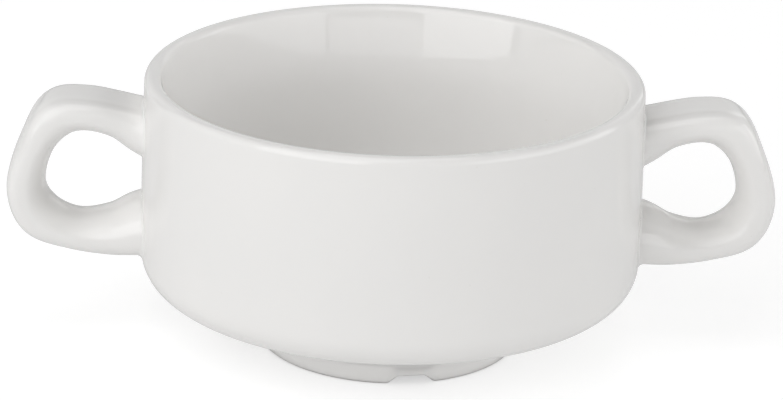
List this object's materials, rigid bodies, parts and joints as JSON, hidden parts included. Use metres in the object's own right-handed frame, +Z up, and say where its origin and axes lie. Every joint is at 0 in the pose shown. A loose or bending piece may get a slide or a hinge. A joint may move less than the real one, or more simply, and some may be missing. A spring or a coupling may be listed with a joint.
{
  "type": "soup cup",
  "caption": "Two-handled stacking soup cup in glossy white porcelain: straight-sided bowl with a rounded lip, coned underside, small notched foot ring and closed ear handles.",
  "frame": {"origin": "centre of the standing ring, on the table", "axes": "+Z up out of the bowl, +X along the two handles towards the right one, -Y towards the viewer"},
  "size_m": [0.1626, 0.106, 0.0585],
  "materials": {
    "body_porcelain": "glossy white glaze, bare ground clay on the standing ring",
    "ear_porcelain": "glossy white glaze",
    "joining_slip": "fired joining slip under the same white glaze"
  },
  "bodies": {
    "root": {"cup_body": "body_porcelain", "handle_left": "ear_porcelain", "handle_right": "ear_porcelain", "slip_left_upper": "joining_slip", "slip_left_lower": "joining_slip", "slip_right_upper": "joining_slip", "slip_right_lower": "joining_slip"}
  },
  "joints": []
}
